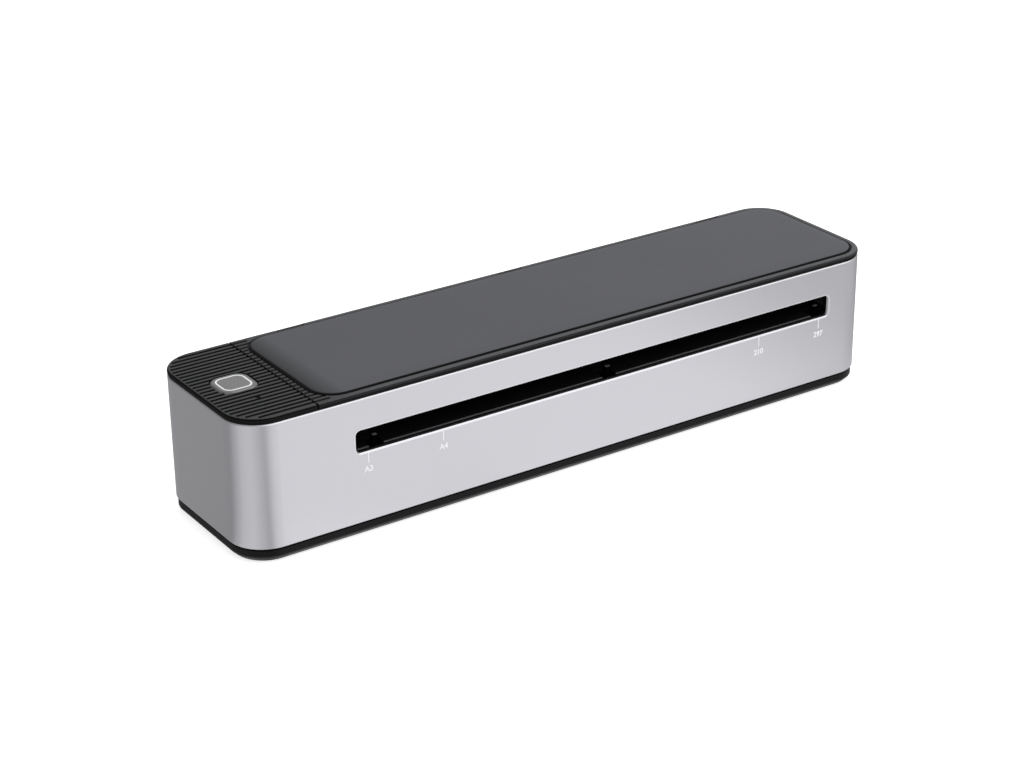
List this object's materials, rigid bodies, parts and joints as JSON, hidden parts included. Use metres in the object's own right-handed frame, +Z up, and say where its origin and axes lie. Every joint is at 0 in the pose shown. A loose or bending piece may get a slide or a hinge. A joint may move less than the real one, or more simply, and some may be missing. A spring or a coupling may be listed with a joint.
{
  "type": "portable thermal printer",
  "caption": "Long rounded-box thermal printer: silver sleeve with a wide paper slot, hinged padded lid, ribbed panel with a lit power button, black base, inner print mechanism.",
  "frame": {"origin": "centre of the footprint at table height", "axes": "+X along the length towards the end away from the button, front slot faces -Y, +Z up"},
  "size_m": [0.4064, 0.0954, 0.0815],
  "materials": {
    "silver_shell": "satin",
    "black_plastic": "fine texture",
    "lid_plastic": "fine texture",
    "soft_pad": "soft matt",
    "rubber": "matt",
    "steel": "satin",
    "zinc_sheet": "satin",
    "gear_plastic": "natural",
    "motor_can": "satin",
    "circuit": "lacquer",
    "light_guide": "clear white",
    "button_face": "fine texture",
    "button_trim": "satin",
    "heat_sink": "extruded",
    "ceramic": "glazed",
    "brass_bush": "sintered",
    "battery_wrap": "shrink wrap",
    "magnet": "plated"
  },
  "bodies": {
    "chassis": {"outer_sleeve": "silver_shell", "base_tray": "black_plastic", "rubber_feet": "rubber", "base_screws": "steel", "top_frame": "black_plastic", "control_panel": "lid_plastic", "button_surround": "button_trim", "button_light_ring": "light_guide", "panel_board": "circuit", "front_slot_bezel": "black_plastic", "rear_slot_bezel": "black_plastic", "lower_guide_front": "black_plastic", "lower_guide_rear": "black_plastic", "upper_guide_front": "black_plastic", "upper_guide_rear": "black_plastic", "side_frame_left": "zinc_sheet", "side_frame_right": "zinc_sheet", "platen_bearings": "brass_bush", "gear_stud": "steel", "drive_motor": "motor_can", "motor_bracket": "zinc_sheet", "sensor_pivots": "steel", "sensor_boards": "black_plastic", "main_board": "circuit", "usb_socket": "steel", "battery_cells": "battery_wrap", "battery_holder": "black_plastic", "hinge_pins": "steel", "frame_magnets": "magnet"},
    "lid": {"lid_shell": "lid_plastic", "lid_pad": "soft_pad", "head_bracket": "zinc_sheet", "head_springs": "steel", "lid_magnets": "magnet"},
    "head": {"print_head": "heat_sink", "head_substrate": "ceramic"},
    "platen": {"platen_rubber": "rubber", "platen_shaft": "steel", "platen_gear": "gear_plastic", "platen_clips": "steel"},
    "compound": {"compound_gear": "gear_plastic"},
    "rotor": {"motor_shaft": "steel", "motor_pinion": "brass_bush"},
    "lever_left": {"sensor_lever_left": "black_plastic"},
    "lever_centre": {"sensor_lever_centre": "black_plastic"},
    "lever_right": {"sensor_lever_right": "black_plastic"},
    "button": {"power_button": "button_face"}
  },
  "joints": [
    {"name": "lid_hinge", "type": "hinge", "parent": "chassis", "child": "lid", "pos_m": [0.0161, 0.0463, 0.0788], "axis": [-1, 0, 0], "range_deg": [0, 75]},
    {"name": "head_float", "type": "slide", "parent": "lid", "child": "head", "axis": [0, 0, 1], "range_m": [0, 0.0008], "stiffness_N_per_m": 3000, "springref_m": -0.0012, "deforming": ["head_springs"]},
    {"name": "platen_spin", "type": "hinge", "parent": "chassis", "child": "platen", "pos_m": [0.0161, 0, 0.0444], "axis": [1, 0, 0], "continuous": true},
    {"name": "compound_spin", "type": "hinge", "parent": "chassis", "child": "compound", "pos_m": [-0.155, -0.012, 0.0284], "axis": [1, 0, 0], "continuous": true},
    {"name": "motor_spin", "type": "hinge", "parent": "chassis", "child": "rotor", "pos_m": [-0.16, 0.0088, 0.0284], "axis": [1, 0, 0], "continuous": true},
    {"name": "button_press", "type": "slide", "parent": "chassis", "child": "button", "axis": [0, 0, -1], "range_m": [0, 0.0008], "stiffness_N_per_m": 400, "springref_m": -0.0006},
    {"name": "lever_left_swing", "type": "hinge", "parent": "chassis", "child": "lever_left", "pos_m": [-0.1258, -0.0405, 0.0435], "axis": [-1, 0, 0], "range_deg": [0, 60], "stiffness_Nm_per_rad": 0.0004, "springref_deg": -17.19},
    {"name": "lever_centre_swing", "type": "hinge", "parent": "chassis", "child": "lever_centre", "pos_m": [0.0202, -0.0405, 0.0435], "axis": [-1, 0, 0], "range_deg": [0, 60], "stiffness_Nm_per_rad": 0.0004, "springref_deg": -17.19},
    {"name": "lever_right_swing", "type": "hinge", "parent": "chassis", "child": "lever_right", "pos_m": [0.1662, -0.0405, 0.0435], "axis": [-1, 0, 0], "range_deg": [0, 60], "stiffness_Nm_per_rad": 0.0004, "springref_deg": -17.19}
  ],
  "couplings": [
    {"joint": "compound_spin", "follows": "platen_spin", "ratio": -2.5714},
    {"joint": "motor_spin", "follows": "platen_spin", "ratio": 8.5714}
  ]
}
